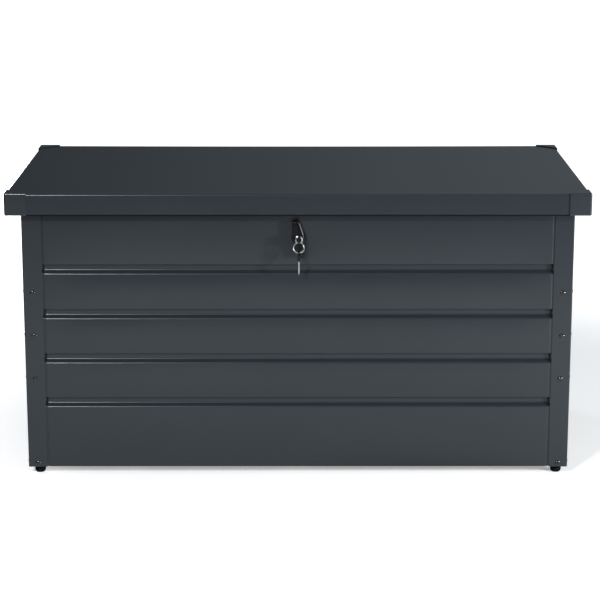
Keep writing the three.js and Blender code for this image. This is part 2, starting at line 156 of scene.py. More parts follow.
def turn(degrees, axis):
    return Matrix.Rotation(math.radians(degrees), 4, axis)


# The rotation that lays a drawing in the YZ plane: its x is Y, its y is up and its z is X.
UPRIGHT = Matrix(((0, 0, 1, 0), (1, 0, 0, 0), (0, 1, 0, 0), (0, 0, 0, 1)))


def lathe(profile, segments=32, closed=False):
    """Turns a profile of (radius, height) about Z. A radius may be a function of the angle."""
    points, rings = [], []
    for radius, height in profile:
        start = len(points)
        if radius == 0:
            points.append((0, 0, height))
        for s in range(segments if radius != 0 else 0):
            a = TAU * s / segments
            r = radius(a) if callable(radius) else radius
            points.append((r * math.cos(a), r * math.sin(a), height))
        rings.append(range(start, len(points)))
    pairs = list(zip(rings, rings[1:]))
    if closed:
        pairs.append((rings[-1], rings[0]))
    faces = []
    for low, high in pairs:
        for s in range(segments):
            t = (s + 1) % segments
            corners = [low[s % len(low)], low[t % len(low)], high[t % len(high)], high[s % len(high)]]
            faces.append(list(dict.fromkeys(corners)))
    return points, faces


def loft(rings):
    """Joins rings with the same number of points, with a face at each end."""
    count = len(rings[0])
    points = [p for ring in rings for p in ring]
    faces = []
    for low in range(0, len(points) - count, count):
        for s in range(count):
            t = (s + 1) % count
            faces.append([low + s, low + t, low + count + t, low + count + s])
    return points, [*faces, list(range(count)), list(range(len(points) - count, len(points)))]


def bent_line(points, radius, steps=5, span=None):
    """The line through 2D points with each corner turned into an arc, as (point, left normal) pairs.

    radius is one number or one for each corner. Straight stretches longer than span are divided.
    """
    points = [Vector(p) for p in points]
    radii = radius if isinstance(radius, (list, tuple)) else [radius] * (len(points) - 2)
    left = lambda d: Vector((-d.y, d.x))
    line = []

    def straight(start, end, normal):
        parts = 1 if span is None else max(1, round((end - start).length / span))
        for i in range(parts + 1):
            line.append((start.lerp(end, i / parts), normal))

    here = points[0]
    for i in range(1, len(points) - 1):
        before = (points[i] - points[i - 1]).normalized()
        after = (points[i + 1] - points[i]).normalized()
        angle = math.atan2(before.cross(after), before.dot(after))
        reach = radii[i - 1] * math.tan(abs(angle) / 2)
        start = points[i] - before * reach
        straight(here, start, left(before))
        side = math.copysign(radii[i - 1], angle)
        centre = start + left(before) * side
        for s in range(1, steps):
            normal = left(before).copy()
            normal.rotate(Matrix.Rotation(angle * s / steps, 2))
            line.append((centre - normal * side, normal))
        here = points[i] + after * reach
    last = (points[-1] - points[-2]).normalized()
    straight(here, points[-1], left(last))
    return line


def sheet_section(points, thickness, bend=BEND, steps=5, span=None):
    """Both faces of a bent sheet whose given face runs through the points and whose body lies to
    the left of them, as a list of (face point, body point) pairs."""
    middle = []
    line = [Vector(p) for p in points]
    for i, p in enumerate(line):
        before = (p - line[i - 1]).normalized() if i else None
        after = (line[i + 1] - p).normalized() if i + 1 < len(line) else None
        a, b = before or after, after or before
        one, two = [Vector((-d.y, d.x)) for d in (a, b)]
        middle.append(p + (one + two) * (thickness / 2 / (1 + one.dot(two))))
    bends = bend if isinstance(bend, list) else [bend] * (len(points) - 2)
    rounded = bent_line(middle, [b + thickness / 2 for b in bends], steps, span)
    return [(p - n * thickness / 2, p + n * thickness / 2) for p, n in rounded]


def sweep_sheet(section, stations, place, narrow=None, narrow_at=None):
    """A sheet section swept through stations. place(u, v, w) gives the 3D point.

    narrow is a range of the section that alone continues past the stations +-narrow_at."""
    count = len(section)
    points = [place(p.x, p.y, w) for w in stations for pair in section for p in pair]
    faces = []
    full = (0, count - 1)

    def active(s):
        middle = (stations[s] + stations[s + 1]) / 2
        return narrow if narrow and abs(middle) > narrow_at else full

    def quad(*corners):
        faces.append([(s * count + k) * 2 + side for s, k, side in corners])

    def end_face(s, first, last):
        for k in range(first, last):
            quad((s, k, 0), (s, k + 1, 0), (s, k + 1, 1), (s, k, 1))

    for s in range(len(stations) - 1):
        first, last = active(s)
        for k in range(first, last):
            quad((s, k, 0), (s, k + 1, 0), (s + 1, k + 1, 0), (s + 1, k, 0))
            quad((s, k, 1), (s + 1, k, 1), (s + 1, k + 1, 1), (s, k + 1, 1))
        for k in (first, last):
            quad((s, k, 0), (s, k, 1), (s + 1, k, 1), (s + 1, k, 0))
    end_face(0, *active(0))
    end_face(len(stations) - 1, *active(len(stations) - 2))
    for s in range(1, len(stations) - 1):
        if active(s) != active(s - 1):
            end_face(s, full[0], narrow[0])
            end_face(s, narrow[1], full[1])
    return points, faces


def spread(low, high, parts):
    return [low + (high - low) * i / parts for i in range(parts + 1)]


def prism(outline, low, high):
    """An upright prism over a 2D outline."""
    rings = [[(x, y, z) for x, y in outline] for z in (low, high)]
    return loft(rings)


def block(x0, x1, y0, y1, z0, z1):
    return prism([(x0, y0), (x1, y0), (x1, y1), (x0, y1)], z0, z1)


def plate(outlines, thickness, soft=0.3, resolution=2):
    """A flat plate with softened edges in the XY plane, centred on z = 0; the first outline is its
    rim and the others are holes."""
    curve = bpy.data.curves.new("plate", "CURVE")
    curve.dimensions = "2D"
    curve.fill_mode = "BOTH"
    curve.extrude = thickness / 2 - soft
    curve.bevel_depth = soft
    curve.bevel_resolution = resolution
    curve.offset = -soft
    for outline in outlines:
        spline = curve.splines.new("POLY")
        spline.points.add(len(outline) - 1)
        for point, (x, y) in zip(spline.points, outline):
            point.co = (x, y, 0, 1)
        spline.use_cyclic_u = True
    holder = bpy.data.objects.new("plate", curve)
    mesh = bpy.data.meshes.new_from_object(holder)
    shape = [v.co.copy() for v in mesh.vertices], [list(p.vertices) for p in mesh.polygons]
    bpy.data.objects.remove(holder)
    bpy.data.curves.remove(curve)
    bpy.data.meshes.remove(mesh)
    return shape


def circle(radius, segments=32, x=0.0, y=0.0):
    return [(x + radius * math.cos(TAU * s / segments), y + radius * math.sin(TAU * s / segments))
            for s in range(segments)]


def arc(radius, start, end, steps, x=0.0, y=0.0):
    """Points of an arc in the plane; its angles are in degrees."""
    turns = [math.radians(a) for a in spread(start, end, steps)]
    return [(x + radius * math.cos(a), y + radius * math.sin(a)) for a in turns]


def rounded_outline(points, radius, steps=6):
    """A closed 2D outline with its corners turned into arcs."""
    start = (Vector(points[0]) + Vector(points[-1])) / 2
    line = bent_line([start, *points, start], radius, steps)
    return [tuple(p) for p, _ in line[:-1]]


def rounded_box(half_x, low, high, radius):
    """A rounded rectangle of x from -half_x to half_x and y from low to high."""
    return rounded_outline([(-half_x, low), (half_x, low), (half_x, high), (-half_x, high)], radius)


def turned(points, radii, segments=40, steps=5):
    """A lathed shape whose profile has its corners turned into arcs."""
    return lathe([(max(p.x, 0), p.y) for p, _ in bent_line(points, radii, steps)], segments)


# ---- materials


def map_range(tree, value, start, end, low=0.0, high=1.0, smooth=False):
    """A node that maps start..end of a value to low..high."""
    node = tree.nodes.new("ShaderNodeMapRange")
    if smooth:
        node.interpolation_type = "SMOOTHSTEP"
    for socket, number in zip(("From Min", "From Max", "To Min", "To Max"), (start, end, low, high)):
        node.inputs[socket].default_value = number
    tree.links.new(value, node.inputs["Value"])
    return node


def new_material(name):
    made = bpy.data.materials.new(name)
    made.use_nodes = True
    return made, made.node_tree, made.node_tree.nodes["Principled BSDF"]


def surface(name, colour, rough, metallic=0.0, specular=0.5, mottle=(6, 0.06), grain=(700, 0.02),
            wave=None, rough_spread=0.05, stretch=(1, 1, 1), coat=0.0):
    """A procedural finish: mottled colour, uneven roughness and one or two layers of relief.

    mottle is (scale, share of the colour); grain and wave are (scale, height in millimetres)."""
    made, tree, shader = new_material(name)
    new, link = tree.nodes.new, tree.links.new
    place = new("ShaderNodeTexCoord")
    mapping = new("ShaderNodeMapping")
    mapping.inputs["Scale"].default_value = stretch
    link(place.outputs["Object"], mapping.inputs["Vector"])

    def noise_at(scale, detail):
        texture = new("ShaderNodeTexNoise")
        texture.inputs["Scale"].default_value = scale
        texture.inputs["Detail"].default_value = detail
        link(mapping.outputs["Vector"], texture.inputs["Vector"])
        return texture.outputs["Fac"]

    scale, share = mottle
    ramp = new("ShaderNodeValToRGB")
    for element, position, sign in zip(ramp.color_ramp.elements, NOISE_SPAN, (-1, 1)):
        element.position = position
        element.color = [c * (1 + sign * share) for c in colour] + [1]
    link(noise_at(scale, 4), ramp.inputs["Fac"])
    link(ramp.outputs["Color"], shader.inputs["Base Color"])
    uneven = map_range(tree, noise_at(scale * 7, 6), *NOISE_SPAN, rough - rough_spread,
                       rough + rough_spread)
    link(uneven.outputs["Result"], shader.inputs["Roughness"])

    normal = None
    for scale, height in filter(None, (wave, grain)):
        bump = new("ShaderNodeBump")
        bump.inputs["Strength"].default_value = 1.0
        bump.inputs["Distance"].default_value = height * MM
        link(noise_at(scale, 2), bump.inputs["Height"])
        if normal is not None:
            link(normal, bump.inputs["Normal"])
        normal = bump.outputs["Normal"]
    link(normal, shader.inputs["Normal"])

    shader.inputs["Metallic"].default_value = metallic
    shader.inputs["Specular IOR Level"].default_value = specular
    shader.inputs["Coat Weight"].default_value = coat
    shader.inputs["Coat Roughness"].default_value = 0.12
    return made


NOISE_SPAN = (0.3, 0.7)  # where nearly all of a noise texture's values lie
FINISHES = {
    "anthracite_paint": dict(colour=(0.018, 0.0235, 0.0285), rough=0.235, mottle=(5, 0.04),
                             grain=(1100, 0.004), wave=(60, 0.012), rough_spread=0.008),
    "cap_plastic": dict(colour=(0.019, 0.0245, 0.0295), rough=0.235, specular=0.68, mottle=(18, 0.05),
                        grain=(1800, 0.006), rough_spread=0.02),
    "black_plastic": dict(colour=(0.005, 0.005, 0.006), rough=0.22, specular=0.3, mottle=(40, 0.08),
                          grain=(1500, 0.008), rough_spread=0.03),
    "black_rubber": dict(colour=(0.005, 0.005, 0.0055), rough=0.72, specular=0.08, mottle=(90, 0.18),
                         grain=(900, 0.07)),
    "zinc_steel": dict(colour=(0.52, 0.53, 0.55), rough=0.38, metallic=1.0, mottle=(45, 0.09),
                       grain=(500, 0.015), rough_spread=0.07, stretch=(1, 1, 0.4)),
    "chrome_steel": dict(colour=(0.94, 0.95, 0.97), rough=0.17, metallic=1.0, mottle=(60, 0.03),
                         grain=(900, 0.004), rough_spread=0.04),
    "key_nickel": dict(colour=(0.86, 0.86, 0.85), rough=0.2, metallic=1.0, mottle=(120, 0.07),
                       grain=(800, 0.01), stretch=(1, 1, 0.25)),
    "strut_black": dict(colour=(0.005, 0.005, 0.0055), rough=0.14, coat=0.9, mottle=(30, 0.08),
                        grain=(700, 0.004), rough_spread=0.03),
}
MATERIALS = {name: surface(name, **finish) for name, finish in FINISHES.items()}


# ---- putting pieces in the scene

SHARP = math.radians(32)


def add_object(name, data):
    made = bpy.data.objects.new(name, data)
    bpy.context.scene.collection.objects.link(made)
    return made


def put(name, shape, body, slot, node=None, soften=0.0, soften_steps=2):
    """Makes a scene object of a shape, with its finish, its body and the CAD node it stands for."""
    points, faces = shape
    mesh = bpy.data.meshes.new(name)
    mesh.from_pydata([Vector(p) * MM for p in points], [], faces)
    work = bmesh.new()
    work.from_mesh(mesh)
    bmesh.ops.remove_doubles(work, verts=work.verts, dist=0.002 * MM)
    bmesh.ops.dissolve_degenerate(work, edges=work.edges, dist=0.001 * MM)
    bmesh.ops.recalc_face_normals(work, faces=work.faces)
    for face in work.faces:
        face.smooth = True
    for edge in work.edges:
        edge.smooth = not (len(edge.link_faces) == 2 and edge.calc_face_angle(0) > SHARP)
    work.to_mesh(mesh)
    work.free()
    piece = add_object(name, mesh)
    mesh.materials.append(MATERIALS[slot])
    if soften:
        bevel = piece.modifiers.new("soft_edges", "BEVEL")
        bevel.width = soften * MM
        bevel.segments = soften_steps
        bevel.limit_method = "ANGLE"
        bevel.angle_limit = SHARP
        bevel.harden_normals = True
    weighted = piece.modifiers.new("even_shading", "WEIGHTED_NORMAL")
    weighted.keep_sharp = True
    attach(piece, body)
    if node:
        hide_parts(node)


def stand_in(node, shape, body, slot, soften=0.0, soften_steps=2):
    put(f"fine_{node}", shape, body, slot, node, soften, soften_steps)


# ---- fasteners


def hexagon(flat):
    """Radius of a hexagon, half of its width across flats, as a function of the angle."""
    return lambda a: flat / math.cos(a % (TAU / 6) - TAU / 12)


def button_bolt(radius=BOLT_R, reach=BOLT_REACH, socket=1.6, swell=0.56):
    """A dome-headed bolt with a hexagon socket; its head stands on z = 0 and its shank goes down."""
    height = radius * swell
    dome = lambda r: height * math.sqrt(max(0.0, 1 - (r / radius / 1.04) ** 2))
    rim = socket * 1.25
    head = [(r, dome(r)) for r in spread(rim, radius * 0.98, 7)]
    shank = radius * 0.49
    return lathe([
        (0, height * 0.35), (hexagon(socket), height * 0.38), (hexagon(socket), dome(socket) - 0.12),
        *head, (radius, 0.25), (radius, 0), (shank, 0), (shank, 0.6 - reach), (shank - 0.5, -reach),
        (0, -reach),
    ], 36)


def pan_screw(radius, reach, swell=0.46):
    return button_bolt(radius, reach, 1.3, swell)


def hex_nut(flat=4.0, bore=2.5, height=4.0):
    """A chamfered nut standing on z = 0."""
    tip = lambda f: (lambda a: min(hexagon(f)(a), f * 1.08))
    return lathe([
        (bore, 0.3), (bore + 0.4, 0), (tip(flat), 0), (hexagon(flat), 0.55),
        (hexagon(flat), height - 0.55), (tip(flat), height), (bore + 0.4, height), (bore, height - 0.3),
    ], 36, closed=True)


def washer(inner, outer, thick):
    return lathe([(inner, 0), (outer - 0.2, 0), (outer, 0.2), (outer, thick - 0.2),
                  (outer - 0.2, thick), (inner, thick)], 36, closed=True)


def weld_spot(x, y, z, radius=2.6):
    """The shallow dimple of a spot weld on the underside of a sheet."""
    spot = lathe([(0, -0.3), (radius, -0.3), (radius, 0.05), (radius - 0.5, 0.14),
                  (radius - 1.2, 0.05), (0, 0.02)], 20)
    return moved(spot, at(x, y, z) @ turn(180, "X"))


# ---- posts, feet and their bolts


def post(corner, sx, sy):
    node = f"post_{corner}"
    low, high = node_box(node)
    outer_x = high.x if sx > 0 else -low.x
    outer_y = high.y if sy > 0 else -low.y
    line = [(outer_x, outer_y - POST_FLANGE), (outer_x, outer_y), (outer_x - POST_FLANGE, outer_y)]
    section = sheet_section(line, POST_SHEET, 1.6, 7)
    place = lambda u, v, w: (sx * u, sy * v, w)
    angle = sweep_sheet(section, spread(low.z, high.z, 12), place)
    near, cut, far = POST_SHEET * 0.75, 32, POST_FLANGE - 1
    tab = [(far, near), (far, cut), (cut, far), (near, far), (near, near)]
    foot_tab = prism([(sx * (outer_x - x), sy * (outer_y - y)) for x, y in tab],
                     low.z, low.z + POST_SHEET)
    stand_in(node, merge(angle, foot_tab), "box", "anthracite_paint", 0.22)

    bolts, nuts = [], []
    wall_back = POST_SHEET + POST_GAP + SHEET
    for z in BOLT_HEIGHTS:
        for out, on_face in (((sx, 0, 0), (sx * outer_x, sy * (outer_y - BOLT_INSET), z)),
                             ((0, sy, 0), (sx * (outer_x - BOLT_INSET), sy * outer_y, z))):
            out, on_face = Vector(out), Vector(on_face)
            spin = turn(37 * z, "Z")  # no two neighbours stand alike
            bolts.append(moved(button_bolt(), at(*on_face) @ aimed(out) @ spin))
            inside = at(*(on_face - out * wall_back)) @ aimed(-out)
            nuts += [moved(washer(2.6, 5, WASHER), inside),
                     moved(hex_nut(), inside @ at(0, 0, WASHER) @ spin)]
    put(f"bolts_{corner}", merge(*bolts), "box", "strut_black")
    put(f"nuts_{corner}", merge(*nuts), "box", "zinc_steel")


def foot(corner):
    node = f"foot_{corner}"
    low, high = node_box(node)
    here = at(*node_centre(node).xy, 0)
    radius = (high.x - low.x) / 2
    top = node_box(f"post_{corner}")[0].z - POST_GAP
    rubber = turned([(0, 0), (radius - 3.2, 0), (radius - 0.4, 3.2), (radius, 9.5),
                     (radius - 2.2, 11.5), (radius - 2.2, top), (0, top)],
                    [1.4, 2.2, 1.0, 0.8, 0.5], 48, 4)
    stand_in(node, moved(rubber, here), "box", "black_rubber")

    nut = f"foot_nut_{corner}"
    nut_low, nut_high = node_box(nut)
    thread = [(0, top - 1)]
    for i in range(int((high.z - top) / STUD_PITCH)):
        z = top - 0.5 + i * STUD_PITCH
        thread += [(STUD_R - 0.3, z), (STUD_R, z + STUD_PITCH / 2)]
    thread += [(STUD_R - 0.5, high.z), (0, high.z)]
    hardware = merge(
        lathe(thread, 24),
        moved(hex_nut(5.0, STUD_R, nut_high.z - nut_low.z - 1), at(0, 0, nut_low.z + 0.9)),
        moved(washer(STUD_R + 0.2, 7, 0.9), at(0, 0, nut_low.z)),
    )
    stand_in(nut, moved(hardware, here), "box", "zinc_steel")


for corner, sx, sy in CORNERS:
    post(corner, sx, sy)
    foot(corner)

# ---- walls

GROOVE_EDGES = [GROOVE_TOP - i * GROOVE_PITCH for i in range(GROOVES)]


def wall_line(bottom, top):
    """A wall's outer face as (depth behind it, height), from the lip at the top down."""
    line = [(TOP_FLANGE, top - TOP_LIP), (TOP_FLANGE, top), (0, top)]
    for edge in GROOVE_EDGES:
        line += [(0, edge), (GROOVE_DEPTH, edge - 1), (GROOVE_DEPTH, edge - 1 - GROOVE_FLOOR),
                 (0, edge - GROOVE_HEIGHT)]
    return [*line, (0, bottom), (BOTTOM_FLANGE, bottom)]


def flats(bottom, top):
    """Lower and upper end of each flat stretch of a wall, from the top down."""
    return list(zip([*GROOVE_EDGES, bottom], [top, *(edge - GROOVE_HEIGHT for edge in GROOVE_EDGES)]))


def wall(node, along_x, outward):
    """One wall; outward is the sign of its outer face's side along its other axis."""
    low, high = node_box(node)
    half = (high.x - low.x) / 2 if along_x else (high.y - low.y) / 2
    limits = (low.y, high.y) if along_x else (low.x, high.x)
    face = max(abs(limits[0]), abs(limits[1]))
    bends = [BEND, BEND, *[BEND, BEND, 3.6, 3.2] * GROOVES, BEND]
    section = sheet_section(wall_line(low.z, high.z), SHEET, bends, 6, 8)
    flat_ends = flats(low.z, high.z)
    post_corner = node_box("post_rear_right")[1]
    post_edge = (post_corner.x if along_x else post_corner.y) - POST_FLANGE
    edge = post_edge - 1

    def bow(depth, z, along):
        if depth > SHEET * 1.5:
            return 0.0
        for number, (bottom, top) in enumerate(flat_ends):
            if bottom < z < top:
                t = (z - bottom) / (top - bottom)
                ends = min(1.0, max(0.0, (post_edge - abs(along)) / BOW_FADE))
                uneven = 1 + 0.3 * noise.noise((along / 300, number * 3.7, outward + 5 * along_x))
                return WALL_BOW * (1 - (2 * t - 1) ** 2) * ends * uneven * held_flat(along, z)
        return 0.0

    def held_flat(along, z):
        """The lock and the hinges clamp the sheet flat round them."""
        if not along_x:
            return 1.0
        held = [(LOCK_X, LOCK_Z)] if outward < 0 else [(x, HINGE_LEAF_Z) for x in HINGE_XS]
        return min(1 - math.exp(-((along - x) ** 2 + (z - height) ** 2) / CLAMP_REACH ** 2)
                   for x, height in held)

    def beside_post(along):
        """The sheet dips into a narrow line along the post's edge, but not where a strut's bracket
        stands behind it."""
        if not along_x and along > 0:
            return 0.0
        return JOGGLE * math.exp(-((abs(along) - edge) / JOGGLE_WIDTH) ** 2)

    def place(depth, z, along):
        across = outward * (face - depth + bow(depth, z, along) - beside_post(along))
        return (along, across, z) if along_x else (across, along, z)

    # The flanges stop short of the posts; only the flat part between them runs on behind those.
    clear = half - (POST_FLANGE - POST_SHEET - GROOVE_DEPTH - 2)
    first = next(k for k, (p, _) in enumerate(section) if p.x < 0.1 and p.y < high.z - 4)
    last = max(k for k, (p, _) in enumerate(section) if p.x < 0.1 and p.y > low.z + 1)
    near_post = [edge + d for d in (-7, -4.5, -3, -1.5, 0, 1.5, 3)]
    inner = [x for x in spread(-clear, clear, 28) if abs(abs(x) - edge + 2) > 6]
    stations = sorted([-half, half, *inner, *near_post, *[-x for x in near_post]])
    shape = sweep_sheet(section, stations, place, (first, last), clear)
    stand_in(node, shape, "box", "anthracite_paint")


lock_middle = node_centre("lock_plug")
LOCK_X, LOCK_Z = lock_middle.x, lock_middle.z
HINGE_XS = [node_centre(f"hinge_{name}_pin").x for name in PLACES]
HINGE_LEAF_Z = node_centre("hinge_middle_pin").z - 20

wall("front_panel", True, -1)
wall("rear_panel", True, 1)
wall("left_panel", False, -1)
wall("right_panel", False, 1)

# ---- floor


def floor():
    low, high = node_box("floor_panel")
    corner = POST_FLANGE + 1 - (node_box("post_rear_right")[1].x - high.x)
    rim = []
    for sx, sy in ((1, 1), (-1, 1), (-1, -1), (1, -1)):
        x, y = sx * high.x, sy * high.y
        nx, ny = sx * (high.x - corner), sy * (high.y - corner)
        notch = [(x, ny), (nx, ny), (nx, y)]
        rim += notch if sx * sy > 0 else notch[::-1]
    profile = bent_line([(120, high.z), (0, high.z), (0, low.z)], 1.6, 5)

    def ring(inset, z):
        line = []
        for i, (x, y) in enumerate(rim):
            before, after = Vector(rim[i - 1]), Vector(rim[(i + 1) % len(rim)])
            here = Vector((x, y))
            a, b = (here - before).normalized(), (after - here).normalized()
            inward = Vector((-a.y, a.x)) + Vector((-b.y, b.x))
            line.append((*(here + inward * inset), z))
        return line

    profile = [p for p, _ in profile if p.x < 20]
    outside = [ring(p.x, p.y) for p in profile]
    inside = [ring(max(p.x, SHEET), min(p.y, high.z - SHEET)) for p in profile]
    stand_in("floor_panel", loft(outside + inside[::-1]), "box", "anthracite_paint")


def hat_section(node, body, brim, crown, top, drop):
    """A pressed hat-section strip along Y with weld dimples on its brims."""
    low, high = node_box(node)
    x = (low.x + high.x) / 2
    line = [(brim, top), (crown, top), (crown, top + drop), (-crown, top + drop), (-crown, top),
            (-brim, top)]
    sag = lid_sag if body == "lid" else lambda x, y: 0.0
    strip = sweep_sheet(sheet_section(line, SHEET, 0.9, 4), spread(low.y, high.y, 16),
                        lambda u, v, w: (x + u, w, v - sag(x + u, w)))
    spots = [weld_spot(x + side * (brim + crown) / 2, y, top - SHEET - sag(x, y))
             for side in (-1, 1) for y in spread(low.y + 25, high.y - 25, RIB_SPOTS - 1)]
    stand_in(node, merge(strip, *spots), body, "zinc_steel", 0.15, 1)


def lid_sag(x, y):
    """How far the lid's plate hangs below its corners."""
    droop = 1 - (x / LID_HALF.x) ** 2
    back = (1 + y / LID_HALF.y) / 2
    return droop * (LID_DROOP * back ** 2 + LID_SAG * max(0.0, 1 - (y / LID_HALF.y) ** 2))


LID_HALF = node_box("lid_panel")[1].xy  # half of its width and depth

floor()
for name in PLACES:
    rail_low, rail_high = node_box(f"floor_rail_{name}")
    hat_section(f"floor_rail_{name}", "box", 32, 20, rail_low.z + SHEET,
                rail_high.z - rail_low.z - SHEET)
    rib_low, rib_high = node_box(f"lid_rib_{name}")
    hat_section(f"lid_rib_{name}", "lid", 30, 18, rib_high.z, SHEET - (rib_high.z - rib_low.z))

# ---- lid


def lid():
    low, high = node_box("lid_panel")
    line = [(LID_HALF.y, high.z), (0, high.z), (0, low.z), (LID_HEM, low.z)]
    section = sheet_section(line, SHEET, [2.8, 1.2], 7, 20)

    def ring(inset, z):
        """One turn round the lid, with rounded corners and divided sides."""
        half_x, half_y = LID_HALF.x - inset, max(LID_HALF.y - inset, 0)
        corner = max(min(LID_CORNER, half_y) - max(inset, 0) * 0.2, 0)
        arcs = [[Vector(p) for p in arc(corner, start, start + 90, 3, cx * (half_x - corner),
                                        cy * (half_y - corner))]
                for cx, cy, start in ((1, 1, 0), (-1, 1, 90), (-1, -1, 180), (1, -1, 270))]
        points = []
        for i, parts in enumerate((40, 20, 40, 20)):
            end, goal = arcs[i][-1], arcs[(i + 1) % 4][0]
            points += arcs[i] + [end.lerp(goal, t) for t in spread(0, 1, parts)[1:-1]]
        return [(p.x, p.y, z - sag(p.x, p.y, z)) for p in points]

    def sag(x, y, z):
        ripple = LID_RIPPLE * noise.noise((x / 260, y / 160, 2.0)) if z > high.z - 3 else 0
        rim = min(1.0, (LID_HALF.y - abs(y)) / LID_STIFF_RIM, (LID_HALF.x - abs(x)) / LID_STIFF_RIM)
        return lid_sag(x, y) + ripple * max(rim, 0)

    outer = [ring(p.x, p.y) for p, _ in section]
    inner = [ring(q.x, q.y) for _, q in section]
    stand_in("lid_panel", loft(outer + inner[::-1]), "lid", "anthracite_paint")


def lid_cap(corner, sx, sy):
    """A moulded corner: a wall with rounded edges above and below, and a three-cornered top."""
    node = f"lid_cap_{corner}"
    low, high = node_box(node)
    outer_x = max(abs(low.x), abs(high.x))
    outer_y = max(abs(low.y), abs(high.y))
    rim, under = CAP_CURL + 0.7, high.z - CAP_TOP
    outside = bent_line([(rim, high.z), (0, high.z), (0, low.z), (3.4, low.z)], [3.0, 2.6], 6)
    inside = [(3.4, low.z + 1.5), (CAP_WALL + 0.9, low.z + 1.7), (CAP_WALL, low.z + 2.8),
              (CAP_WALL, under), (rim, under)]
    profile = [tuple(p) for p, _ in outside] + inside
    path = bent_line([(outer_x - CAP_LEG, outer_y), (outer_x, outer_y), (outer_x, outer_y - CAP_LEG)],
                     4.2, 8)
    rings = [[(sx * (p.x - left.x * d), sy * (p.y - left.y * d), z) for d, z in profile]
             for p, left in path]
    tip = [(CAP_LEG, CAP_CURL), (CAP_CURL, CAP_LEG), (CAP_CURL, 4), (4, CAP_CURL)]
    top = prism([(sx * (outer_x - x), sy * (outer_y - y)) for x, y in tip], high.z - 2, high.z - 0.02)
    stand_in(node, merge(loft(rings), top), "lid", "cap_plastic", 0.85, 3)


def lid_hem_strip():
    """A black rubber strip inside the skirt's hem between the caps; it shows as a dark line beneath the
    skirt.
    """
    low, high = node_box("lid_panel")
    reach_x, reach_y = high.x - CAP_LEG + 2, high.y - CAP_LEG + 2
    top, notch, bottom = low.z + 2, low.z - 0.1, low.z - 2.6
    line = bent_line([(SHEET + 0.1, top), (SHEET + 0.1, notch), (0.5, notch), (0.5, bottom),
                      (3.6, bottom), (3.6, top)], [0.1, 0.1, 0.6, 0.6], 4)
    section = [tuple(p) for p, _ in line]
    strips = []
    for sign in (-1, 1):
        along_x = [[(x, sign * (high.y - d), z) for d, z in section]
                   for x in spread(-reach_x, reach_x, 24)]
        along_y = [[(sign * (high.x - d), y, z) for d, z in section]
                   for y in spread(-reach_y, reach_y, 12)]
        strips += [loft([[(x, y, z - lid_sag(x, y)) for x, y, z in ring] for ring in rings])
                   for rings in (along_x, along_y)]
    put("lid_hem_strip", merge(*strips), "lid", "black_rubber")


def bumper(side):
    node = f"bumper_{side}"
    low, high = node_box(node)
    r = (high.x - low.x) / 2
    body = turned([(0, low.z), (r, low.z), (r, low.z + 3), (r - 1, low.z + 4.2), (r - 1, high.z),
                   (0, high.z)], [0.5, 0.6, 0.6, 1.6], 36)
    here = at(*node_centre(node).xy, 0)
    stand_in(node, moved(body, here), "box", "black_rubber")


lid()
lid_hem_strip()
for corner, sx, sy in CORNERS:
    lid_cap(corner, sx, sy)
for side, _ in SIDES:
    bumper(side)

# ---- hinges

HINGE_LEAF = 1.6
HINGE_KNUCKLE = 4.5  # outer radius
HINGE_SCREWS = (-27, 0, 27)


def open_sheet(middle, thickness, x0, x1):
    """A sheet whose middle line is given as (y, z) points, from x0 to x1."""
    section = []
    for i, p in enumerate(middle):
        before = Vector(middle[max(i - 1, 0)])
        after = Vector(middle[min(i + 1, len(middle) - 1)])
        d = (after - before).normalized()
        n = Vector((-d.y, d.x)) * thickness / 2
        section.append((Vector(p) - n, Vector(p) + n))
    return sweep_sheet(section, [x0, x1], lambda u, v, w: (w, u, v))


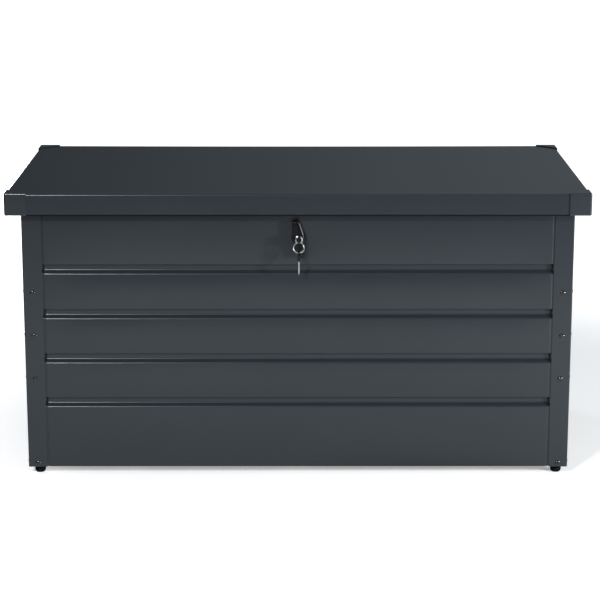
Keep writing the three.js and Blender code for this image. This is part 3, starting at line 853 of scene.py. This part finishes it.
def hinge(name):
    """A wall leaf, a lid leaf and a pin, drawn round the pin's middle."""
    node = f"hinge_{name}"
    pin_low, pin_high = node_box(f"{node}_pin")
    centre = (pin_low + pin_high) / 2
    wall_low, wall_high = node_box(f"{node}_wall_leaf")
    lid_high = node_box(f"{node}_lid_leaf")[1]
    half = (wall_high.x - wall_low.x) / 2
    third = half / 3
    mid_r = HINGE_KNUCKLE - HINGE_LEAF / 2 - 0.05
    here = at(*centre)
    backward = aimed((0, 1, 0))

    # Wall leaf: up the wall, out towards the pin, and rolled round it in the two outer thirds.
    wall_y = wall_low.y - centre.y + HINGE_LEAF / 2
    arm = bent_line([(wall_y, wall_low.z - centre.z), (wall_y, -mid_r), (-6.4, -mid_r)], 2.4, 6)
    arm = open_sheet([tuple(p) for p, _ in arm], HINGE_LEAF, -half, half)
    roll = [(-7.5, -mid_r), (-3, -mid_r), *arc(mid_r, -90, 202, 26)]
    knuckles = [open_sheet(roll, HINGE_LEAF, x0, x1)
                for x0, x1 in ((-half, -third - 0.3), (third + 0.3, half))]
    screws = [moved(pan_screw(3.6, 5), at(x, wall_y + HINGE_LEAF / 2, wall_low.z - centre.z + 11)
                    @ backward @ turn(x, "Z")) for x in HINGE_SCREWS]
    stand_in(f"{node}_wall_leaf", moved(merge(arm, *knuckles), here), "box", "zinc_steel", 0.25)
    put(f"{node}_wall_screws", moved(merge(*screws), here), "box", "zinc_steel")

    # Lid leaf: flat against the rear skirt, rolled round the pin in the middle third.
    leaf_y = lid_high.y - centre.y - HINGE_LEAF / 2
    outline = rounded_box(half, 6.5, lid_high.z - centre.z, 4)
    leaf = moved(plate([outline], HINGE_LEAF, 0.25), at(0, leaf_y, 0) @ turn(90, "X"))
    roll = [(leaf_y, 8), (leaf_y, 3), *arc(mid_r, 0, -262, 26)]
    screws = [moved(pan_screw(3.6, 7, 0.12), at(x, leaf_y + HINGE_LEAF / 2, 24 if x else 30)
                    @ backward @ turn(2 * x, "Z")) for x in HINGE_SCREWS]
    leaf = merge(leaf, open_sheet(roll, HINGE_LEAF, -third, third))
    stand_in(f"{node}_lid_leaf", moved(leaf, here), "lid", "zinc_steel", 0.2)
    put(f"{node}_lid_screws", moved(merge(*screws), here), "lid", "zinc_steel")

    reach = (pin_high.x - pin_low.x) / 2
    pin = turned([(0, -reach), (2.6, -reach), (2.6, 1 - reach), (2, 1 - reach), (2, reach), (0, reach)],
                 [0.6, 0.1, 0.1, 0.7], 28, 4)
    stand_in(f"{node}_pin", moved(pin, here @ aimed((1, 0, 0))), "box", "zinc_steel")


for name in PLACES:
    hinge(name)

# ---- gas struts

CYLINDER_R = 9
CYLINDER_END = 150
BORE_R = 7.4
ROD_R = 4
EYE_HALF = 5
STRUT_STUD_R = 3
BRACKET_HALF = 20
BRACKET_SHEET = 1.5
BRACKET_SCREWS = ((-14, -14), (14, -14), (14, 14), (-14, 14))


def eye(radius, bore):
    """A moulded eye across X with rounded rims."""
    half = EYE_HALF
    ring = lathe([(bore, -half), (radius - 1, -half), (radius, 1 - half), (radius, half - 1),
                  (radius - 1, half), (bore, half)], 36, closed=True)
    return moved(ring, aimed((1, 0, 0)))


def gas_strut(side, outward):
    """Cylinder and rod, drawn along Z from the lower pivot."""
    pivot = Vector(joint(f"strut_{side}_pivot")["pos_m"]) / MM
    axis = Vector(joint(f"strut_{side}_stroke")["axis"])
    local = at(*pivot) @ Matrix.Rotation(math.atan2(-axis.y, axis.z), 4, "X")
    rod_low, rod_high = node_box(f"strut_{side}_rod")
    length = (Vector((pivot.x, rod_low.y + 7, rod_high.z - 7)) - pivot).dot(axis)

    end, neck_r = CYLINDER_END, CYLINDER_R - 0.8
    tube = turned([(0, 8), (5, 8), (5, 11), (CYLINDER_R, 14.5), (CYLINDER_R, end - 6),
                   (neck_r, end - 5), (neck_r, end - 3.5), (CYLINDER_R, end - 2.5), (CYLINDER_R, end),
                   (4.5, end), (4.5, end - 3), (BORE_R, end - 3), (BORE_R, 18), (0, 18)],
                  [0.3, 0.8, 2.6, 0.5, 0.3, 0.3, 0.5, 1.6, 0.4, 0.3, 0.3, 0.5])
    stand_in(f"strut_{side}_cylinder", moved(merge(tube, eye(8, 4.3)), local),
             f"{side}_cylinder", "strut_black")

    piston = BORE_R - 0.6
    shaft = turned([(0, 24), (piston, 24), (piston, 30), (ROD_R, 30), (ROD_R, length - 3),
                    (0, length - 3)], [0.6, 0.6, 0.3, 0.4])
    stand_in(f"strut_{side}_rod", moved(shaft, local), f"{side}_rod", "chrome_steel")
    neck = turned([(ROD_R + 0.05, length - 20), (5.6, length - 20), (5.6, length - 9),
                   (6.6, length - 4), (0, length - 4)], [0.5, 1.5, 0.8])
    socket = merge(moved(eye(7, STRUT_STUD_R + 0.1), at(0, 0, length)), neck)
    put(f"strut_{side}_rod_eye", moved(socket, local), f"{side}_rod", "black_plastic")
    head = EYE_HALF + 0.6
    stud = turned([(0, -head), (2.4, -head), (STRUT_STUD_R, -EYE_HALF), (STRUT_STUD_R, 7.6), (0, 7.6)],
                  [0.2, 0.3, 0.5], 28)
    stud = moved(stud, local @ at(0, 0, length) @ aimed((outward, 0, 0)))
    put(f"strut_{side}_stud", stud, f"{side}_rod", "zinc_steel")


def wall_bracket(side, outward):
    node = f"strut_{side}_wall_bracket"
    low, high = node_box(node)
    pivot = Vector(joint(f"strut_{side}_pivot")["pos_m"]) / MM
    back = high.x if outward > 0 else low.x
    outline = rounded_box(BRACKET_HALF, -BRACKET_HALF, BRACKET_HALF, 6)
    holes = [circle(2.6, 16, x, y) for x, y in BRACKET_SCREWS]
    base = moved(plate([outline, *holes], BRACKET_SHEET),
                 at(back - outward * BRACKET_SHEET / 2, pivot.y, pivot.z) @ UPRIGHT)
    inward = at(back, pivot.y, pivot.z) @ aimed((-outward, 0, 0))
    reach = abs(back - pivot.x) + EYE_HALF
    step = reach - 2 * EYE_HALF - 1.2
    stud = turned([(0, 1), (7.6, 1), (7, 3), (7, step), (4.1, step), (4.1, reach), (0, reach)],
                  [0.5, 0.8, 0.8, 0.3, 0.6], 32)
    clip = lathe([(3.6, reach + 0.1), (5.6, reach + 0.1), (5.6, reach + 0.9), (3.6, reach + 0.9)], 32,
                 closed=True)
    screws = [moved(pan_screw(4, 2.4), inward @ at(x, y, BRACKET_SHEET) @ turn(50 * x + y, "Z"))
              for x, y in BRACKET_SCREWS]
    stand_in(node, merge(base, moved(stud, inward)), "box", "zinc_steel")
    put(f"strut_{side}_wall_screws", merge(moved(clip, inward), *screws), "box", "zinc_steel")


def lid_bracket(side, outward):
    node = f"strut_{side}_lid_bracket"
    low, high = node_box(node)
    near, far = (low.x, high.x) if outward > 0 else (-high.x, -low.x)
    middle = (low.y + high.y) / 2
    section = sheet_section([(far, high.z), (near, high.z), (near, low.z)], 2, 1.2, 6)
    sag = lid_sag(outward * (near + 13), middle)
    angle = sweep_sheet(section, [low.y, high.y], lambda u, v, w: (outward * u, w, v - sag))
    spots = [weld_spot(outward * (near + 15), y, high.z - 2 - sag) for y in (middle - 8, middle + 8)]
    stand_in(node, merge(angle, *spots), "lid", "zinc_steel", 0.4)


for side, outward in SIDES:
    gas_strut(side, outward)
    wall_bracket(side, outward)
    lid_bracket(side, outward)

# ---- lock

LOCK_FACE = node_box("front_panel")[0].y
HANDLE_TILT = 10
HANDLE_HALF = 39.5
HANDLE_WAIST = 12.5  # half of its width in the middle
HANDLE_END = 7  # and at its ends
HANDLE_ROUND = 2.5

# Depth along the lock's axis is local Z, counted from the wall's outer face towards the inside.
AT_LOCK = at(LOCK_X, LOCK_FACE, LOCK_Z) @ aimed((0, 1, 0))
# A frame with x right, y up and z towards the viewer, for what is drawn from the front.
FACING = at(LOCK_X, LOCK_FACE, LOCK_Z) @ turn(90, "X")


def lock_housing():
    thread = [(11 if i % 2 else 10.4, 1 + i * 0.75) for i in range(24)]
    line = [(8.1, -3.3), (14.3, -3.3), (15.2, -2.9), (15.5, -2.1), (15.5, -0.3), (11, -0.3), *thread,
            (10.6, 19), (8.1, 19)]
    stand_in("lock_housing", moved(lathe(line, 64, closed=True), AT_LOCK), "box", "black_plastic")
    nut = merge(moved(hex_nut(13.2, 11.1, 4.4), at(0, 0, 1.9)),
                moved(washer(11.3, 16.5, 0.8), at(0, 0, 1.1)))
    stand_in("lock_nut", moved(nut, AT_LOCK), "box", "zinc_steel")


def handle_outline(steps=14):
    """A winged outline, widest in the middle, with soft corners at its flat ends."""
    straight = HANDLE_HALF - HANDLE_ROUND
    side = [(HANDLE_WAIST - (HANDLE_WAIST - HANDLE_END) * t ** 1.6, t * straight)
            for t in spread(0, 1, steps)]
    side += arc(HANDLE_ROUND, 0, 90, 6, HANDLE_END - HANDLE_ROUND, straight)[1:]
    points = []
    for sx, sy in ((1, 1), (-1, 1), (-1, -1), (1, -1)):
        points += [(sx * x, sy * y) for x, y in (side if sx * sy > 0 else side[::-1])]
    return [p for i, p in enumerate(points) if (Vector(p) - Vector(points[i - 1])).length > 0.01]


def turn_handle():
    outline = handle_outline()

    def ring(inset, height):
        sx, sy = 1 - inset / HANDLE_WAIST, 1 - inset / HANDLE_HALF
        return [(x * sx, y * sy, height) for x, y in outline]

    edge = [(1.2, 5), (0.4, 5.3), (0, 6.2), (0.3, 15)]
    edge += [(3.5 - 3.2 * x, 15 + 4.2 * y) for x, y in arc(1, 0, 78, 6)[1:]]
    edge += [(5.5, 19.6), (8.5, 19.9), (11, 20)]
    body = moved(loft([ring(i, h) for i, h in edge]), FACING @ turn(HANDLE_TILT, "Z"))
    bezel = lathe([(8.15, 18.5), (10.4, 18.5), (10.3, 20.5), (9.9, 21.0), (8.6, 21.0), (8.15, 20.6)],
                  64, closed=True)
    spindle = turned([(0, -6), (11, -6), (11, -3.6), (7.6, -3.6), (7.6, 20.8), (0, 20.8)],
                     [0.4, 0.5, 0.4, 0.6])
    stand_in("turn_handle", merge(body, moved(bezel, FACING), moved(spindle, AT_LOCK)), "handle",
             "black_plastic")


def lock_cam():
    low, high = node_box("lock_cam")
    reach = high.z - LOCK_Z
    half = (high.x - low.x) / 2
    outline = [*arc(half, 180, 360, 18), (half - 1.5, reach), (1.5 - half, reach)]
    cam = plate([outline, circle(2.4, 20)], high.y - low.y, 0.35)
    stand_in("lock_cam", moved(cam, at(LOCK_X, (low.y + high.y) / 2, LOCK_Z) @ turn(90, "X")),
             "handle", "zinc_steel")
    back = node_box("cam_screw")[1].y
    screw = moved(pan_screw(4.5, 9), at(LOCK_X, back - 2.4, LOCK_Z) @ aimed((0, 1, 0)))
    stand_in("cam_screw", screw, "handle", "zinc_steel")


def lock_plug():
    """A turned plug whose innermost profile follows the rectangle of the key's slot."""
    half_x, half_y, tiny = 1.35, 4.1, 1e-6
    slot = lambda a: min(half_x / max(abs(math.cos(a)), tiny), half_y / max(abs(math.sin(a)), tiny))
    front = LOCK_FACE - node_box("lock_plug")[0].y
    line = [(0, -9), (slot, -9), (slot, front - 4.4), (4.3, front - 4.2), (4.5, front - 4),
            *arc(1.8, 180, 0, 10, 6.2, front - 1.8), (8, 10.5), (5.4, 10.5), (5.4, -11), (0, -11)]
    stand_in("lock_plug", moved(lathe(line, 96), FACING), "plug", "chrome_steel")


def keeper():
    low, high = node_box("keeper")
    top = high.z - lid_sag(low.x, low.y)
    line = [(high.y, top), (low.y, top), (low.y, low.z), (high.y, low.z)]
    section = sheet_section(line, 1.5, 1.5, 6)
    strip = sweep_sheet(section, [low.x, high.x], lambda u, v, w: (w, u, v))
    spot = weld_spot((low.x + high.x) / 2, high.y - 5, top - 1.5, 2.2)
    stand_in("keeper", merge(strip, spot), "lid", "zinc_steel", 0.3)


lock_housing()
turn_handle()
lock_cam()
lock_plug()
keeper()

# ---- keys

BOW_DROP = KEY_BOW - KEY_HOLE - KEY_RIM
SHOULDER = -BOW_DROP - KEY_BOW  # where the blade leaves the head
TANG = 2.6
CUTS = (1.4, 0.9, 1.9, 0.5, 1.5)  # their depths from the tip on
CUT_PITCH = 4.2
GRIP_BARS = (-6.6, -8.2, -9.8)


def key_blade():
    """A flat blade towards -Y with its tang in the head, in the XY plane.

    The origin is the ring's hole."""
    half = KEY_BLADE / 2
    tip = SHOULDER - KEY_REACH
    low = tip + 3
    outline = [(TANG, SHOULDER + 4), (-TANG, SHOULDER + 4), (-TANG, SHOULDER - 1),
               (-half, SHOULDER - 2.2), (-half, low), (-0.8, tip), (0.8, tip)]
    for i, depth in enumerate(CUTS):
        y = low + i * CUT_PITCH
        outline += [(half - 0.1, y), (half - depth, y + 1.3), (half - depth, y + 2.6)]
    outline += [(half, low + len(CUTS) * CUT_PITCH), (half, SHOULDER - 2.2), (TANG, SHOULDER - 1)]
    ridge = [block(-1.6, -0.5, tip + 4, SHOULDER + 1, z - 0.2, z + 0.2) for z in (-0.9, 0.9)]
    return merge(plate([outline], KEY_THICK, 0.25), *ridge)


def key_head():
    """The moulded head round the tang, with the ring's hole, a collar and grip bars on both sides."""
    disc = plate([circle(KEY_BOW, 56, 0, -BOW_DROP), circle(KEY_HOLE, 28)], KEY_HEAD, 0.7, 3)
    half, low, high = 3.4, SHOULDER - 1.6, SHOULDER + 3
    rim = rounded_outline([(half, low), (half, high), (-half, high), (-half, low)], 0.8, 3)
    collar = plate([rim], KEY_HEAD - 0.4, 0.6)
    bars = [block(-3.6, 3.6, y, y + 0.7, side * KEY_HEAD / 2 - 0.3, side * KEY_HEAD / 2 + 0.2)
            for side in (-1, 1) for y in GRIP_BARS]
    return merge(disc, collar, *bars)


def split_ring(radius, wire=0.75, turns=2.0, steps=150, sides=12):
    """Two close turns of wire round Y with their ends cut flat."""
    rings = []
    for i in range(steps + 1):
        t = i / steps
        a = TAU * turns * t + 0.9
        out = Vector((math.cos(a), 0, math.sin(a)))
        centre = out * radius + Vector((0, wire * 2 * (t - 0.5), 0))
        rings.append([centre + out * x + Vector((0, y, 0)) for x, y in circle(wire, sides)])
    return loft(rings)


def key(name, place, body):
    stand_in(name, moved(key_blade(), place), body, "key_nickel")
    put(f"{name}_head", moved(key_head(), place), body, "black_plastic")


def keys():
    key_front = node_box("key")[0].y
    spare_low, spare_high = node_box("spare_key")
    # For the key in the lock, away from the blade is -Y.
    level = Matrix(((0, 0, 1, 0), (0, -1, 0, 0), (1, 0, 0, 0), (0, 0, 0, 1)))
    key("key", at(LOCK_X, key_front + KEY_BOW - BOW_DROP, LOCK_Z) @ level, "key_in_lock")
    key("spare_key", at(LOCK_X, (spare_low.y + spare_high.y) / 2, spare_high.z - (KEY_BOW - BOW_DROP))
        @ UPRIGHT, "hanging_key")
    stand_in("key_ring", moved(split_ring(RING_R), at(*node_centre("key_ring"))), "ring",
             "chrome_steel")


keys()

# ---- stage, light and camera (metres, watts and degrees)

FLOOR_MIDDLE = (0.25, 0.15, 0)
FLOOR_REACH = 60
# painted light: a faint glow of the floor near the box, for light and reflections only
FLOOR_GLOW = 0.02
FLOOR_WHITE = 0.9
HORIZON = (0.04, 0.225)  # left and right
CEILING = 0.3
SKY_TINT = (0.86, 0.97, 1.06, 1)
SEEN_SKY = 1.05  # the backdrop's white, as the camera sees it
LAMPS = (  # name, place, target, size and power
    ("front_left_strip", (-1.15, -3.0, 2.1), (-0.2, -0.3, 0.4), (0.45, 0.5), 72),
    ("right_key", (2.6, -1.76, 0.8), (0, -0.2, 0.4), (0.32, 0.32), 88),
    ("rear_fill", (-2.1, 3.0, 0.32), (0.0, 0.3, 0.3), (1.4, 0.5), 120),
)
CAMERA_PLACE = (0.0, -4.345, 1.363)
CAMERA_DOWN = 13.6  # below the horizon
CAMERA_TURN = -0.06  # about the upright
CAMERA_LENS = 120.9


def by_ray(tree, other, seen, kind="FLOAT"):
    """The value that camera rays see and the one for all other rays; each is a socket or a
    constant."""
    path, mix = tree.nodes.new("ShaderNodeLightPath"), tree.nodes.new("ShaderNodeMix")
    mix.data_type = kind
    tree.links.new(path.outputs["Is Camera Ray"], mix.inputs["Factor"])
    for socket, value in (("A", other), ("B", seen)):
        if isinstance(value, bpy.types.NodeSocket):
            tree.links.new(value, mix.inputs[socket])
        else:
            mix.inputs[socket].default_value = value
    return mix.outputs["Result"]


def stage():
    made, tree, shader = new_material("studio_floor")
    shader.inputs["Roughness"].default_value = 0.9
    shader.inputs["Specular IOR Level"].default_value = 0.1
    shader.inputs["Emission Color"].default_value = (1, 1, 1, 1)
    new, link = tree.nodes.new, tree.links.new
    place = new("ShaderNodeTexCoord")
    away = new("ShaderNodeVectorMath")
    away.operation = "LENGTH"
    link(place.outputs["Object"], away.inputs[0])

    def by_distance(*span):
        return map_range(tree, away.outputs["Value"], *span, smooth=True).outputs["Result"]

    # Painted light: the camera sees the floor glow, weaker near the box (painted shade round it) and
    # white from 1.7 m on; other rays see a faint glow near the box.
    glow = by_ray(tree, by_distance(2.0, 4.5, FLOOR_GLOW, 0.0), by_distance(0.7, 1.7, 0.36, 0.95))
    link(glow, shader.inputs["Emission Strength"])
    # Painted shade and light for all other rays: the floor's colour is dark in a ring round the box and
    # fades to nearly black beyond 4 m, a painted pool of light.
    painted_floor_shade_and_light = new("ShaderNodeMath")
    painted_floor_shade_and_light.operation = "MULTIPLY"
    link(by_distance(0.33, 0.6, 0.25, 1.0), painted_floor_shade_and_light.inputs[0])
    link(by_distance(1.5, 4.0, 0.75, 0.02), painted_floor_shade_and_light.inputs[1])
    link(by_ray(tree, painted_floor_shade_and_light.outputs["Value"], FLOOR_WHITE), shader.inputs["Base Color"])
    made.cycles.emission_sampling = "NONE"
    mesh = bpy.data.meshes.new("studio_floor")
    r = FLOOR_REACH
    mesh.from_pydata([(-r, -r, 0), (r, -r, 0), (r, r, 0), (-r, r, 0)], [], [(0, 1, 2, 3)])
    mesh.materials.append(made)
    ground = add_object("studio_floor", mesh)
    ground.location = FLOOR_MIDDLE


def softbox(name, place, target, size, power):
    data = bpy.data.lights.new(name, "AREA")
    data.shape = "RECTANGLE"
    data.size, data.size_y = size
    data.energy = power
    lamp = add_object(name, data)
    lamp.location = place
    lamp.rotation_euler = (Vector(target) - Vector(place)).to_track_quat("-Z", "Y").to_euler()


def studio_world():
    """White where the camera looks; for light and reflections a dim band near the horizon that is
    brighter on the right, under a ceiling of its own."""
    world = bpy.data.worlds.new("studio")
    bpy.context.scene.world = world
    world.use_nodes = True
    tree = world.node_tree
    new, link = tree.nodes.new, tree.links.new
    place = new("ShaderNodeTexCoord")
    split = new("ShaderNodeSeparateXYZ")
    link(place.outputs["Generated"], split.inputs["Vector"])
    band = map_range(tree, split.outputs["X"], -0.3, 0.3, *HORIZON, smooth=True)
    rise = map_range(tree, split.outputs["Z"], 0.3, 0.65, high=CEILING, smooth=True)
    link(band.outputs["Result"], rise.inputs["To Min"])
    background = tree.nodes["Background"]
    link(by_ray(tree, rise.outputs["Result"], SEEN_SKY), background.inputs["Strength"])
    link(by_ray(tree, SKY_TINT, (1, 1, 1, 1), "RGBA"), background.inputs["Color"])


def camera():
    data = bpy.data.cameras.new("camera")
    data.lens = CAMERA_LENS
    data.sensor_width = 36
    data.clip_end = 200
    view = add_object("camera", data)
    view.location = CAMERA_PLACE
    view.rotation_euler = (math.radians(90 - CAMERA_DOWN), 0, math.radians(CAMERA_TURN))
    bpy.context.scene.camera = view


stage()
for lamp in LAMPS:
    softbox(*lamp)
studio_world()
camera()
bpy.context.scene.view_settings.view_transform = "Standard"
bpy.context.scene.view_settings.look = "None"
